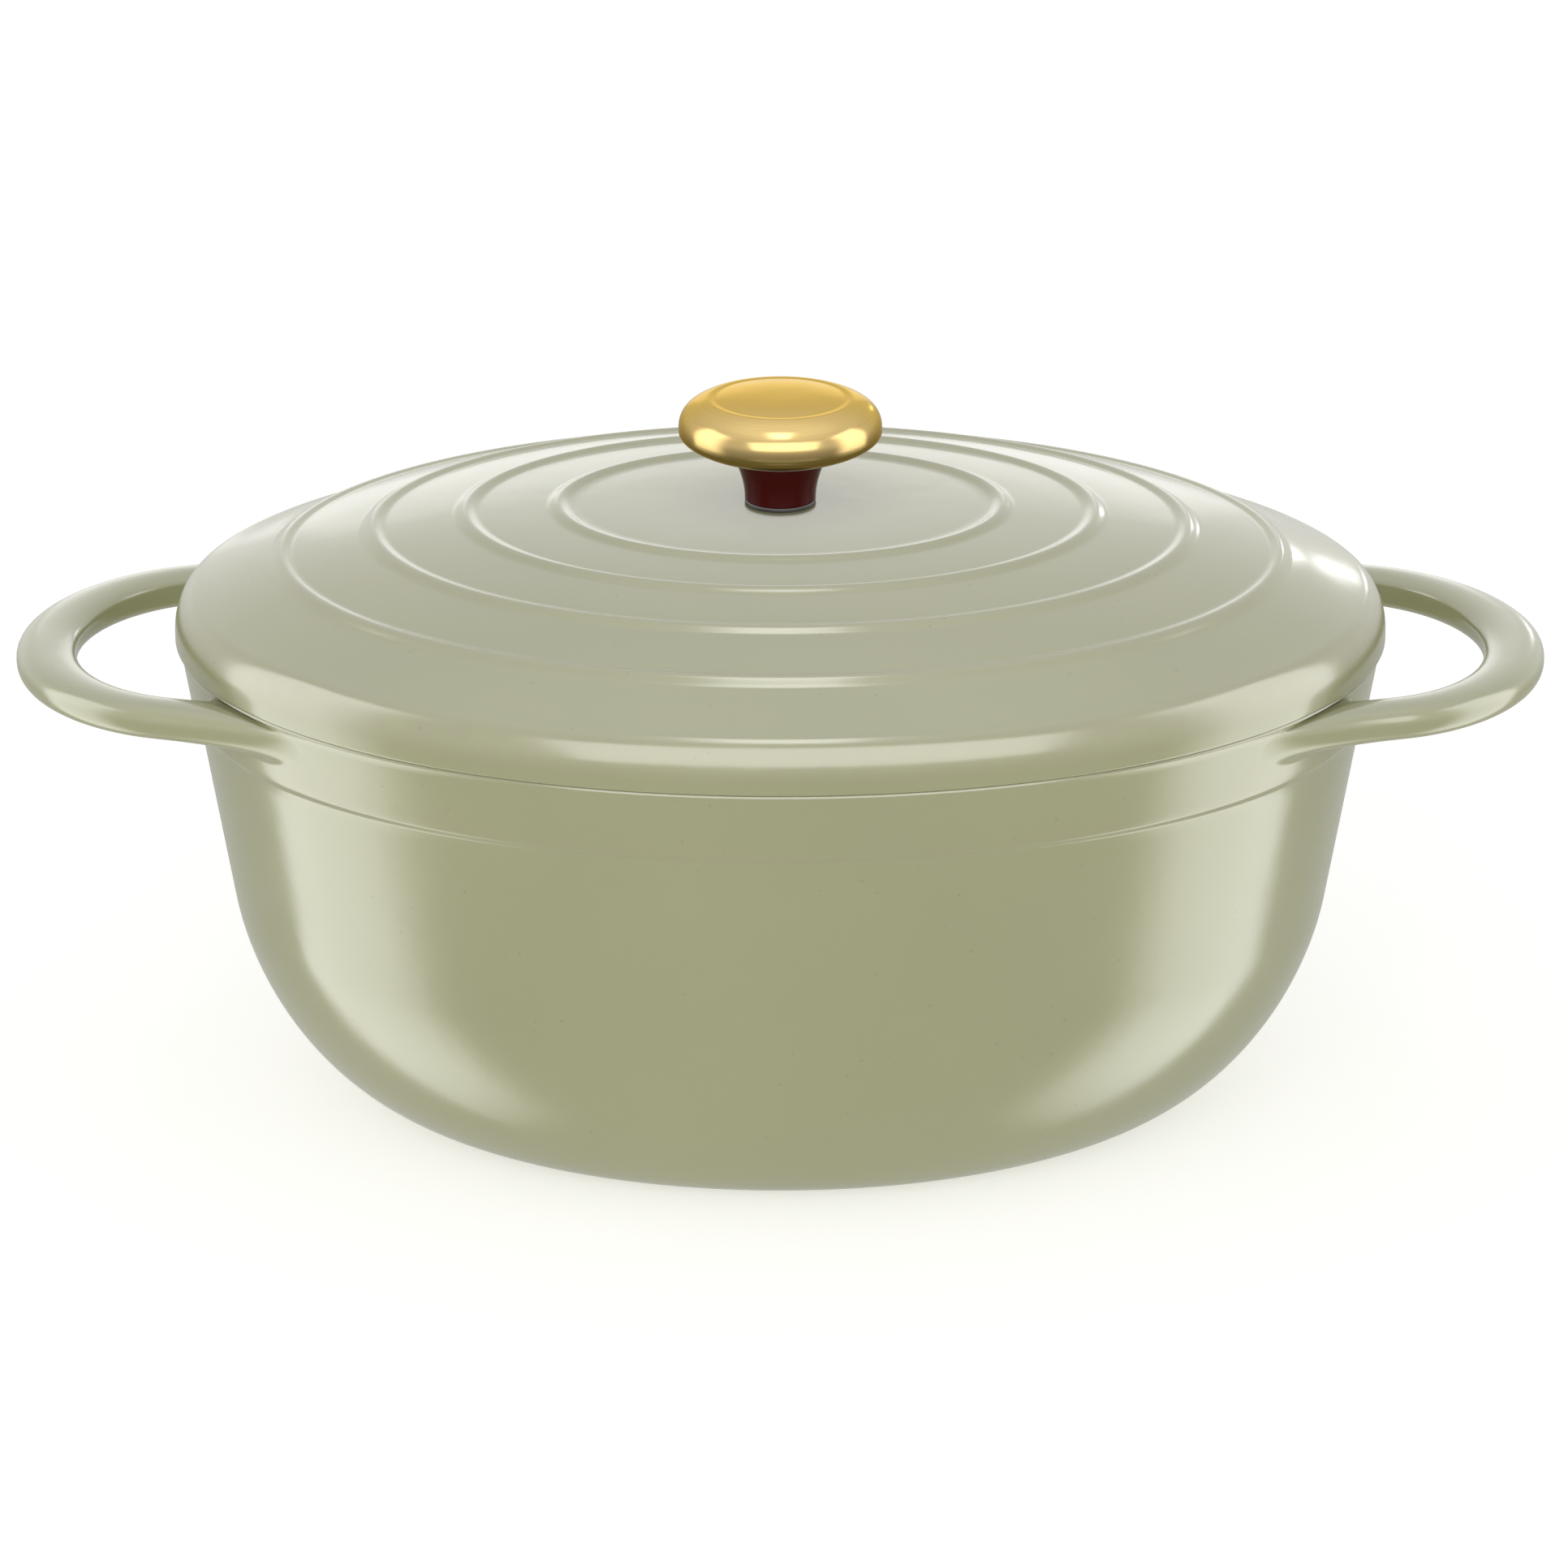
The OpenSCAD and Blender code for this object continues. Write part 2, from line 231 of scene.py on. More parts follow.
# Fired enamel: broad clouds where the coat is deeper, fine pin specks, a worn tint where it thins over
# an edge, and the gentle waves of a coat that flowed as it melted.
def makeEnamelGroup():
    look = enamelLook
    tree, take, give = newGroup(
        "enamelCoat",
        [("Vector", "Vector"), ("Colour", "Color"), ("Deep", "Color"), ("Edge", "Color"),
         ("Speck", "Color"), ("Thin", "Float"), ("Clouds", "Float"), ("Specks", "Float"),
         ("Gloss", "Float")],
        finishOutputs)
    vector = take.outputs["Vector"]
    cloud = noiseMask(tree, vector, look["cloudScale"], 0.32, 0.68, 3)
    cloud = mathNode(tree, "MULTIPLY", cloud, take.outputs["Clouds"])
    colour = mixColours(tree, cloud, take.outputs["Colour"], take.outputs["Deep"])
    worn = noiseMask(tree, vector, look["wornScale"], 0.2, 0.7)
    worn = mathNode(tree, "MULTIPLY", take.outputs["Thin"], worn)
    colour = mixColours(tree, worn, colour, take.outputs["Edge"])
    cells = addNode(tree, "ShaderNodeTexVoronoi", {"Scale": look["speckScale"]})
    tree.links.new(vector, cells.inputs["Vector"])
    outer, inner = look["speckEdge"]
    dots = addNode(tree, "ShaderNodeMapRange", {"From Min": outer, "From Max": inner})
    tree.links.new(cells.outputs["Distance"], dots.inputs["Value"])
    chosen = addNode(tree, "ShaderNodeSeparateColor")
    tree.links.new(cells.outputs["Color"], chosen.inputs["Color"])
    few = mathNode(tree, "GREATER_THAN", chosen.outputs["Red"], look["speckFew"])
    speck = mathNode(tree, "MULTIPLY", dots.outputs["Result"], few)
    speck = mathNode(tree, "MULTIPLY", speck, take.outputs["Specks"])
    colour = mixColours(tree, speck, colour, take.outputs["Speck"])
    smear = noiseMask(tree, vector, look["smearScale"], 0.3, 0.7)
    smear = mathNode(tree, "MULTIPLY", smear, look["smearDeep"])
    rough = mathNode(tree, "ADD", take.outputs["Gloss"], smear)
    wave = noiseMask(tree, vector, look["waveScale"], 0.0, 1.0)
    peel = noiseMask(tree, vector, look["peelScale"], 0.0, 1.0)
    peel = mathNode(tree, "MULTIPLY", peel, look["peelShare"])
    tree.links.new(colour, give.inputs["Colour"])
    tree.links.new(rough, give.inputs["Roughness"])
    tree.links.new(mathNode(tree, "ADD", wave, peel), give.inputs["Height"])
    return tree


grainLook = {
    "fineScale": 900,
    "broadScale": 60,
    "roughLow": 0.42,
    "roughMore": 0.15,            # added where the broad noise is high
}


# The bare ground coat under the enamel: a fine grain with pits, on the rim, the lid's seat and the base.
# The rubber ring has it too.
def makeGrainGroup():
    tree, take, give = newGroup(
        "groundGrain",
        [("Vector", "Vector"), ("Colour", "Color"), ("Light", "Color"), ("Grain", "Float")],
        finishOutputs)
    vector = take.outputs["Vector"]
    fine = noiseMask(tree, vector, grainLook["fineScale"], 0.3, 0.7, 4)
    broad = noiseMask(tree, vector, grainLook["broadScale"], 0.35, 0.7, 3)
    mask = mathNode(tree, "MULTIPLY", mathNode(tree, "MULTIPLY", fine, broad), take.outputs["Grain"])
    colour = mixColours(tree, mask, take.outputs["Colour"], take.outputs["Light"])
    rough = mathNode(tree, "MULTIPLY", broad, grainLook["roughMore"])
    rough = mathNode(tree, "ADD", rough, grainLook["roughLow"])
    tree.links.new(colour, give.inputs["Colour"])
    tree.links.new(rough, give.inputs["Roughness"])
    tree.links.new(fine, give.inputs["Height"])
    return tree


turningLook = {"hazeScale": 120}


# Lathe marks: noise of sqrt(x^2 + y^2) / spacing alone, so it draws fine rings round the upright axis.
def makeTurningGroup():
    tree, take, give = newGroup(
        "turningMarks",
        [("Vector", "Vector"), ("Colour", "Color"), ("Bright", "Color"), ("Spacing", "Float"),
         ("Gloss", "Float"), ("Depth", "Float")],
        finishOutputs)
    flat = addNode(tree, "ShaderNodeVectorMath", operation="MULTIPLY")
    flat.inputs[1].default_value = (1, 1, 0)
    tree.links.new(take.outputs["Vector"], flat.inputs[0])
    length = addNode(tree, "ShaderNodeVectorMath", operation="LENGTH")
    tree.links.new(flat.outputs["Vector"], length.inputs[0])
    rings = mathNode(tree, "DIVIDE", length.outputs["Value"], take.outputs["Spacing"])
    lines = addNode(tree, "ShaderNodeTexNoise", {"Scale": 1.0, "Detail": 3.0}, noise_dimensions="1D")
    tree.links.new(rings, lines.inputs["W"])
    haze = noiseMask(tree, take.outputs["Vector"], turningLook["hazeScale"], 0.3, 0.7)
    colour = mixColours(tree, lines.outputs["Fac"], take.outputs["Colour"], take.outputs["Bright"])
    wear = mathNode(tree, "ADD", lines.outputs["Fac"], haze)
    wear = mathNode(tree, "MULTIPLY", wear, take.outputs["Depth"])
    tree.links.new(colour, give.inputs["Colour"])
    tree.links.new(mathNode(tree, "ADD", take.outputs["Gloss"], wear), give.inputs["Roughness"])
    tree.links.new(lines.outputs["Fac"], give.inputs["Height"])
    return tree


enamelGroup = makeEnamelGroup()
grainGroup = makeGrainGroup()
turningGroup = makeTurningGroup()
print("node groups made")


# A material with one Principled shader, whose colour, roughness and bump come from one of the groups
# above. The bump is its strength and its depth.
def makeFinish(name, group, values, constants, bump, thinName=None):
    material = bpy.data.materials.new(name)
    material.use_nodes = True
    tree = material.node_tree
    tree.nodes.clear()
    shader = addNode(tree, "ShaderNodeBsdfPrincipled", constants)
    out = addNode(tree, "ShaderNodeOutputMaterial")
    where = addNode(tree, "ShaderNodeTexCoord")
    coat = addNode(tree, "ShaderNodeGroup", node_tree=group)
    for key, value in values.items():
        coat.inputs[key].default_value = (*value, 1) if isinstance(value, tuple) else value
    tree.links.new(where.outputs["Object"], coat.inputs["Vector"])
    if thinName:
        attribute = addNode(tree, "ShaderNodeAttribute", attribute_name=thinName)
        tree.links.new(attribute.outputs["Fac"], coat.inputs["Thin"])
    relief = addNode(tree, "ShaderNodeBump", {"Strength": bump[0], "Distance": bump[1]})
    tree.links.new(coat.outputs["Height"], relief.inputs["Height"])
    tree.links.new(coat.outputs["Colour"], shader.inputs["Base Color"])
    tree.links.new(coat.outputs["Roughness"], shader.inputs["Roughness"])
    tree.links.new(relief.outputs["Normal"], shader.inputs["Normal"])
    tree.links.new(shader.outputs["BSDF"], out.inputs["Surface"])
    return material


sageEnamel = makeFinish(
    "sageEnamel", enamelGroup,
    {"Colour": (0.315, 0.315, 0.175), "Deep": (0.290, 0.296, 0.160), "Edge": (0.30, 0.28, 0.17),
     "Speck": (0.16, 0.15, 0.09), "Clouds": 0.8, "Specks": 0.25, "Gloss": 0.16},
    {"IOR": 1.7}, (0.25, 0.35 * mm), thinName="thin")
sandEnamel = makeFinish(
    "sandEnamel", enamelGroup,
    {"Colour": (0.70, 0.65, 0.54), "Deep": (0.66, 0.60, 0.49), "Edge": (0.45, 0.38, 0.28),
     "Speck": (0.30, 0.25, 0.18), "Clouds": 0.7, "Specks": 0.45, "Gloss": 0.14},
    {"IOR": 1.52}, (0.25, 0.35 * mm), thinName="thin")
darkCoat = makeFinish(
    "darkCoat", grainGroup,
    {"Colour": (0.030, 0.027, 0.024), "Light": (0.075, 0.068, 0.060), "Grain": 0.8},
    {"IOR": 1.5}, (0.35, 0.10 * mm))
goldMetal = makeFinish(
    "goldMetal", turningGroup,
    {"Colour": (0.315, 0.226, 0.090), "Bright": (0.365, 0.268, 0.110), "Spacing": 0.45 * mm,
     "Gloss": 0.13, "Depth": 0.06},
    {"Metallic": 1.0, "Specular Tint": (0.85, 0.70, 0.42, 1)}, (0.08, 0.03 * mm))
brassMetal = makeFinish(
    "brassMetal", turningGroup,
    {"Colour": (0.52, 0.37, 0.13), "Bright": (0.62, 0.46, 0.19), "Spacing": 0.6 * mm,
     "Gloss": 0.24, "Depth": 0.10},
    {"Metallic": 1.0}, (0.15, 0.05 * mm))
steelMetal = makeFinish(
    "steelMetal", turningGroup,
    {"Colour": (0.50, 0.50, 0.49), "Bright": (0.63, 0.63, 0.62), "Spacing": 0.35 * mm,
     "Gloss": 0.20, "Depth": 0.10},
    {"Metallic": 1.0}, (0.2, 0.05 * mm))
# the neck's near-black red is painted shade and a painted dark reflection, for the hollow under the
# knob's cap
neckPaintedShade = makeFinish(
    "neckPaintedShade", enamelGroup,
    {"Colour": (0.062, 0.0035, 0.003), "Deep": (0.048, 0.003, 0.0025), "Edge": (0.06, 0.008, 0.007),
     "Speck": (0.06, 0.010, 0.008), "Thin": 0.0, "Clouds": 0.8, "Specks": 0.2, "Gloss": 0.16},
    {"IOR": 1.5, "Specular IOR Level": 0.10}, (0.15, 0.2 * mm))
blackRubber = makeFinish(
    "blackRubber", grainGroup,
    {"Colour": (0.018, 0.018, 0.018), "Light": (0.04, 0.04, 0.04), "Grain": 0.7},
    {"IOR": 1.45}, (0.3, 0.08 * mm))
castFinishes = [sageEnamel, sandEnamel, darkCoat]
outerCoat, innerCoat, groundCoat = range(3)   # their numbers on the pot and the lid
print("finishes made")


# The pot: an oval bowl with a thicker band under its rim, and a loop handle cast on each end.
pot = {
    "lidOverhang": 1.0 * mm,
    "wall": 4.0 * mm,
    "base": 4.5 * mm,
    "baseIn": 2 * mm,             # the last ring of points under the base, in from its corner
    "lean": 9.4,                  # degrees from upright
    "cornerWide": 34 * mm,
    "cornerHigh": 49 * mm,
    "cornerPower": 1.9,
    "bandHigh": 15.5 * mm,
    "bandProud": 1.0 * mm,
    "rimRound": 1.2 * mm,
    "innerRound": 0.8 * mm,
}
rimZ = potHigh.z
rimHalf = lidHigh.x - pot["lidOverhang"]
lean = math.radians(pot["lean"])
slope = math.tan(lean)
footHalf = rimHalf - pot["bandProud"] - slope * rimZ     # the wall, run down to the base
innerFoot = footHalf - pot["wall"] / math.cos(lean)
baseHalf = footHalf - pot["cornerWide"]
mouthHalf = innerFoot + slope * rimZ
outerRatio = potHigh.y / rimHalf
innerRatio = (mouthHalf - (rimHalf - potHigh.y)) / mouthHalf
bandZ = rimZ - pot["bandHigh"]
stepHigh = 2 * pot["bandProud"]                          # the band eases in over this height


# share of the corner's width at a share w of its height: (1 - (1 - w)^p)^(1/p), a quarter of a
# superellipse
def cornerShare(w):
    power = pot["cornerPower"]
    return (1 - (1 - np.clip(w, 0, 1)) ** power) ** (1 / power)


# half length of the outside at height z: base + corner + leaning wall + the band, which eases in
# under its edge
def outsideHalf(z):
    band = pot["bandProud"] * ease((z - bandZ) / stepHigh + 1)
    return baseHalf + pot["cornerWide"] * cornerShare(z / pot["cornerHigh"]) + slope * z + band


# half length of the inside at height z, in the same way, from the inner base up
def insideHalf(z):
    w = (z - pot["base"]) / (pot["cornerHigh"] - pot["base"])
    return baseHalf + (innerFoot - baseHalf) * cornerShare(w) + slope * z


# low + (high - low)(1 - cos t) for t from 0 to 90 degrees: close together at the low end
def heightsOnCorner(low, high, count):
    return low + (high - low) * (1 - np.cos(np.radians(np.linspace(0, 90, count))))


# (half length, height) rows of the outside and of the inside at the heights z
def outsideRows(z):
    return np.column_stack([outsideHalf(z), z])


def insideRows(z):
    return np.column_stack([insideHalf(z), z])


# The pot's profile, from the middle of the base up the outside, over the rim and down the inside. Its
# depth is the outside's ratio times its length, and changes to the inside's ratio across the rim.
def potShell():
    high, rim, inner = pot["cornerHigh"], pot["rimRound"], pot["innerRound"]
    stepZ = bandZ - stepHigh
    rimArc = arc(rimHalf - rim, rimZ - rim, rim, 0, 90, 9)[1:]
    mouthArc = arc(mouthHalf + inner, rimZ - inner, inner, 90, 180, 7)[1:]
    innerBase = run((baseHalf + slope * pot["base"], pot["base"]), (0, pot["base"]), 9)[1:]
    outerParts = [
        (run((0, 0), (baseHalf - pot["baseIn"], 0), 9), groundCoat, 0),
        (outsideRows(heightsOnCorner(0, high, 34)), outerCoat, 0),
        (outsideRows(np.linspace(high, stepZ, 18)[1:]), outerCoat, 0),
        (outsideRows(np.linspace(stepZ, bandZ, 11)[1:]), outerCoat, np.linspace(0, 0.5, 10)),
        (outsideRows(np.linspace(bandZ, rimZ - rim, 10)[1:]), outerCoat, np.linspace(0.4, 0, 9) ** 2),
        (rimArc, outerCoat, np.sin(np.linspace(0.3, 2.8, 8))),
    ]
    innerParts = [
        (run((rimHalf - rim, rimZ), (mouthHalf + inner, rimZ), 5)[1:], groundCoat, 0),
        (mouthArc, groundCoat, 0),
        (insideRows(np.linspace(rimZ - inner, high, 20)[1:]), innerCoat, 0),
        (insideRows(heightsOnCorner(pot["base"], high, 34)[::-1][1:]), innerCoat, 0),
        (innerBase, innerCoat, 0),
    ]
    profile, finish, thin = joinRows(outerParts + innerParts)
    across = np.clip((rimHalf - profile[:, 0]) / (rimHalf - mouthHalf), 0, 1)
    isInside = np.arange(len(profile)) >= sum(len(p) for p, _, _ in outerParts)
    ratio = np.where(isInside, outerRatio + (innerRatio - outerRatio) * across, outerRatio)
    return {"grid": ovalGrid(profile, ratio, aroundPot), "finish": finish, "thin": thin}


handle = {
    "inFromRim": 9 * mm,          # the widest place of the loop, in from the rim's end
    "wide": 108 * mm,
    "tipWide": 14 * mm,
    "armWide": 11.5 * mm,
    "thick": 8.6 * mm,
    "drop": 0.5 * mm,             # its top, under the rim
    "squareness": 2.5,            # 2 gives a round bar, more a squarer one
    "flareFrom": 76,              # degrees round the loop, where the root starts to spread
    "flareSide": 10 * mm,
    "flareDown": 2.6 * mm,
    "topDrop": 0.9 * mm,          # how far the root's top comes down to the wall, under the rim's round
    "sunk": 1.6 * mm,             # how far the root's end lies in the wall
}


# half length of the wall at depth y and height z: a(z) sqrt(1 - (y / b(z))^2)
def wallAt(y, z):
    half = outsideHalf(z)
    return half * np.sqrt(np.clip(1 - (y / (half * outerRatio)) ** 2, 0, 1))


# A bar between two ovals round one middle: at angle f of the loop its middle is (A cos f, B sin f) and
# its half width runs along (a cos f, b sin f); its section is a superellipse. Each root spreads to the
# wall on a curve that leaves the bar in line with it and meets the wall flat.
def handleShell(side):
    middleX = rimHalf - handle["inFromRim"]
    reachA, reachB = potHigh.x - middleX, handle["wide"] / 2
    gapA, gapB = reachA - handle["tipWide"], reachB - handle["armWide"]
    p = np.linspace(0, 2 * math.pi, 44, endpoint=False)[None, :]
    power = 2 / handle["squareness"]
    across = np.sign(np.cos(p)) * np.abs(np.cos(p)) ** power
    rise = np.sign(np.sin(p)) * np.abs(np.sin(p)) ** power
    loopA = (reachA + gapA) / 2 + across * (reachA - gapA) / 2
    loopB = (reachB + gapB) / 2 + across * (reachB - gapB) / 2
    z = rimZ - handle["drop"] + (rise - 1) * handle["thick"] / 2
    f = np.radians(np.linspace(-handle["flareFrom"], handle["flareFrom"], 120))[:, None]
    loop = np.stack([middleX + loopA * np.cos(f), loopB * np.sin(f), z + 0 * f], axis=-1)
    # the root at the loop's end: straight on to the wall, then out along the wall
    last = f[-1]
    ahead = np.stack([-loopA * np.sin(last), loopB * np.cos(last), 0 * z], axis=-1)[0]
    ahead /= np.linalg.norm(ahead, axis=1)[:, None]
    start = loop[-1]
    reach = np.zeros(start.shape[0])
    for _ in range(12):           # steps along until the point lies on the wall
        hit = start + reach[:, None] * ahead
        reach += (hit[:, 0] - wallAt(hit[:, 1], hit[:, 2])) / -ahead[:, 0]
    onWall = start + reach[:, None] * ahead
    spread = np.where(p[0] < math.pi, -handle["topDrop"], handle["flareDown"])
    endY = onWall[:, 1] + handle["flareSide"] * np.cos(p[0])
    endZ = onWall[:, 2] + spread * np.sin(p[0])
    end = np.column_stack([wallAt(endY, endZ), endY, endZ])
    t = np.linspace(0, 1, 22)[1:, None, None]
    root = (1 - t) ** 2 * start + 2 * t * (1 - t) * onWall + t ** 2 * end
    sunk = end - np.array([handle["sunk"], 0, 0])
    tip = np.broadcast_to(sunk.mean(axis=0), sunk.shape)
    root = np.concatenate([root, sunk[None], tip[None]])
    grid = np.concatenate([root[::-1] * [1, -1, 1], loop, root]) * [side, 1, 1]
    return {"grid": grid, "finish": outerCoat, "thin": 0.0}


buildPiece("pot_body_enamelled", [potShell(), handleShell(1), handleShell(-1)], castFinishes,
           "pot", "pot_enamel", "pot_body")


# The lid: a dome with raised rings, a broad round edge, and a lip inside that keeps it in place.
lid = {
    "edgeHigh": 12.5 * mm,
    "edgeUpright": 2.5 * mm,      # the edge's upright foot, under its round
    "edgeRound": 6.5 * mm,
    "edgeFoot": 0.6 * mm,         # rounding at the bottom of the edge
    "shoulderFillet": 5 * mm,     # the dome's last stretch, which runs into the round on a hollow curve
    "filletTurn": 14,             # degrees of the round that this curve takes up
    "domePower": 3.0,
    "thick": 4 * mm,
    "ridges": 4,
    "ridgeIn": 24.5 * mm,         # the outermost ridge, in from the edge
    "ridgePitch": 21.5 * mm,
    "ridgeHigh": 1.0 * mm,
    "ridgeWide": 6 * mm,
    "seatRound": 0.8 * mm,        # where the seat turns down into the lip
    "lipGap": 1.2 * mm,
    "lipThick": 4 * mm,
    "lipRound": 1.2 * mm,
    "lipTurn": 2 * mm,            # the lip's inside turns into the hollow over this length
    "lipTurnFoot": 4 * mm,        # from this far under it
    "lipTurnPull": 1 * mm,        # the curve's middle point lies this far under it
    "screwHole": 3.3 * mm,
}
lidTop = gasketLow.z
lidSeat = max(2 * gasketHigh.x, 2 * washerHigh.x)         # the flat in the middle
domeHalf = lidHigh.x - lid["edgeRound"]
domeRise = lidTop - rimZ - lid["edgeHigh"]
lidRatio = lidHigh.y / lidHigh.x
lipHalf = mouthHalf - slope * (rimZ - lidLow.z) - lid["lipGap"]
hollowHalf = lipHalf - lid["lipThick"]
lipRatio = (lipHalf - (rimHalf - potHigh.y)) / lipHalf
ridgePlaces = lidHigh.x - lid["ridgeIn"] - lid["ridgePitch"] * np.arange(lid["ridges"])[::-1]


# height of the dome at distance x: top - rise u^p, with u running from 0 at the seat to 1 at the edge
def domeZ(x):
    u = np.clip((x - lidSeat) / (domeHalf - lidSeat), 0, None)
    return lidTop - domeRise * u ** lid["domePower"]


# how steep the dome is there: p rise u^(p-1) / width
def domeSlope(x):
    u = np.clip((x - lidSeat) / (domeHalf - lidSeat), 0, None)
    return domeRise * lid["domePower"] / (domeHalf - lidSeat) * u ** (lid["domePower"] - 1)


# each ridge adds h (1 + cos(pi s)) / 2 over s from -1 to 1 across it
def ridgeShare(x):
    s = np.clip((x[:, None] - ridgePlaces[None, :]) / (lid["ridgeWide"] / 2), -1, 1)
    return ((1 + np.cos(math.pi * s)) / 2).sum(axis=1)


# The lid's profile, from the screw hole over the dome and the edge, in along the seat, round the lip and
# back along the hollow, which lies the lid's thickness under the dome: z = dome - t sqrt(1 + slope^2).
# The outside is as deep as the lid, the lip follows the pot's mouth, and the middle's hole is round.
def lidShell():
    hole, foot, seat, lip = lid["screwHole"], lid["edgeFoot"], lid["seatRound"], lid["lipRound"]
    edgeTop = rimZ + lid["edgeHigh"]
    ridgeStart = ridgePlaces[0] - lid["ridgeWide"] / 2
    ridgeEnd = ridgePlaces[-1] + lid["ridgeWide"] / 2
    shoulder = domeHalf - lid["shoulderFillet"]
    x = np.concatenate([
        np.linspace(hole, lidSeat, 6),
        np.linspace(lidSeat, ridgeStart, 16)[1:],
        np.linspace(ridgeStart, ridgeEnd, 112)[1:],
        np.linspace(ridgeEnd, shoulder, 4)[1:],
    ])
    share = ridgeShare(x)
    top = np.column_stack([x, domeZ(x) + lid["ridgeHigh"] * share])
    # the round over the edge is a quarter of an ellipse; the dome runs on to its first points on a
    # hollow curve
    roundFoot = rimZ + lid["edgeUpright"]
    turn = np.radians(np.linspace(lid["filletTurn"], 90, 17))
    overEdge = np.column_stack([domeHalf + lid["edgeRound"] * np.sin(turn),
                                roundFoot + (edgeTop - roundFoot) * np.cos(turn)])
    last, before = top[-1], top[-2]
    meet = last + (last - before) / np.linalg.norm(last - before) * lid["shoulderFillet"]
    fillet = bend(last, meet, overEdge[0], 14)[1:-1]
    hollowX = np.linspace(hollowHalf - lid["lipTurn"], hole, 44)
    thickness = lid["thick"] * np.sqrt(1 + domeSlope(hollowX) ** 2)
    hollow = np.column_stack([hollowX, domeZ(hollowX) - thickness])
    turnZ = hollow[0, 1]
    lipIn = bend((hollowHalf, turnZ - lid["lipTurnFoot"]), (hollowHalf, turnZ - lid["lipTurnPull"]),
                 hollow[0], 8)
    lipFoot = lidLow.z + lip
    outerParts = [
        (top, outerCoat, 0.45 * share),
        (fillet, outerCoat, 0),
        (overEdge, outerCoat, 0.6 * np.sin(np.linspace(0.3, 2.8, 17))),
        (run((lidHigh.x, roundFoot), (lidHigh.x, rimZ + foot), 5)[1:], outerCoat, 0),
        (arc(lidHigh.x - foot, rimZ + foot, foot, 0, -90, 6)[1:], outerCoat, np.linspace(0.3, 0.8, 5)),
        (run((lidHigh.x - foot, rimZ), (lipHalf + seat, rimZ), 5)[1:], groundCoat, 0),
    ]
    innerParts = [
        (arc(lipHalf + seat, rimZ - seat, seat, 90, 180, 6)[1:], groundCoat, 0),
        (run((lipHalf, rimZ - seat), (lipHalf, lipFoot), 4)[1:], innerCoat, 0),
        (arc(lipHalf - lip, lipFoot, lip, 0, -90, 6)[1:], innerCoat, np.linspace(0.2, 0.6, 5)),
        (arc(hollowHalf + lip, lipFoot, lip, -90, -180, 6)[1:], innerCoat, np.linspace(0.6, 0.2, 5)),
        (lipIn, innerCoat, 0),
        (hollow[1:], innerCoat, 0),
    ]
    profile, finish, thin = joinRows(outerParts + innerParts)
    isInside = np.arange(len(profile)) >= sum(len(p) for p, _, _ in outerParts)
    across = np.clip((lidHigh.x - profile[:, 0]) / (lidHigh.x - lipHalf), 0, 1)
    ratio = np.where(isInside, lipRatio, lidRatio)
    ratio = np.where(finish == groundCoat, lidRatio + (lipRatio - lidRatio) * across, ratio)
    ratio = 1 + (ratio - 1) * ease((profile[:, 0] - hole) / (lidSeat - hole))
    grid = ovalGrid(profile, ratio, aroundPot)
    return {"grid": grid, "finish": finish, "thin": thin, "loop": True}


buildPiece("lid_enamelled", [lidShell()], castFinishes, "lid", "pot_enamel", "lid")


# The knob's cap: a sheet-metal mushroom, open at its foot, where the neck goes in.
cap = {
    "flareHigh": 6.4 * mm,
    "crownPower": 2.8,
    "sheet": 1.2 * mm,
    "neckGap": 0.05 * mm,
    "dishR": 17 * mm,             # a shallow dish in the crown, inside a soft border
    "dishSlope": 2.4 * mm,
    "dishDeep": 0.55 * mm,
}
capRingZ = capLow.z + cap["flareHigh"]                    # the widest place of the cap


# half of the cap's section, drawn in by d: a superellipse crown (R cos^q t, H sin^q t), q = 2 / power,
# then a curve under it to the neck
def capRows(d):
    half, high = capHigh.x - d, capHigh.z - capRingZ - d
    t = np.radians(np.linspace(90, 0, 90))
    power = 2 / cap["crownPower"]
    crown = np.column_stack([half * np.clip(np.cos(t), 0, 1) ** power,
                             capRingZ + high * np.sin(t) ** power])
    neckR = coreHigh.x + cap["neckGap"]
    footZ = capLow.z + d
    under = bend((half, capRingZ), (half, (capRingZ + footZ) / 2), (neckR, footZ), 20)[1:]
    return np.concatenate([crown, under])


capOutside = capRows(0)
inDish = 1 - ease((capOutside[:, 0] - cap["dishR"]) / cap["dishSlope"] + 1)
capOutside[:, 1] -= cap["dishDeep"] * inDish * (capOutside[:, 1] > capRingZ)
capProfile = np.concatenate([capOutside, capRows(cap["sheet"])[::-1]])
capPiece = buildPiece("knob_cap_gold", [{"grid": turnedGrid(capProfile, aroundKnob)}], [goldMetal],
                      "lid", "knob_gold", "knob_cap")
capPiece.visible_glossy = False    # as in the photograph, the lid mirrors nothing of the knob
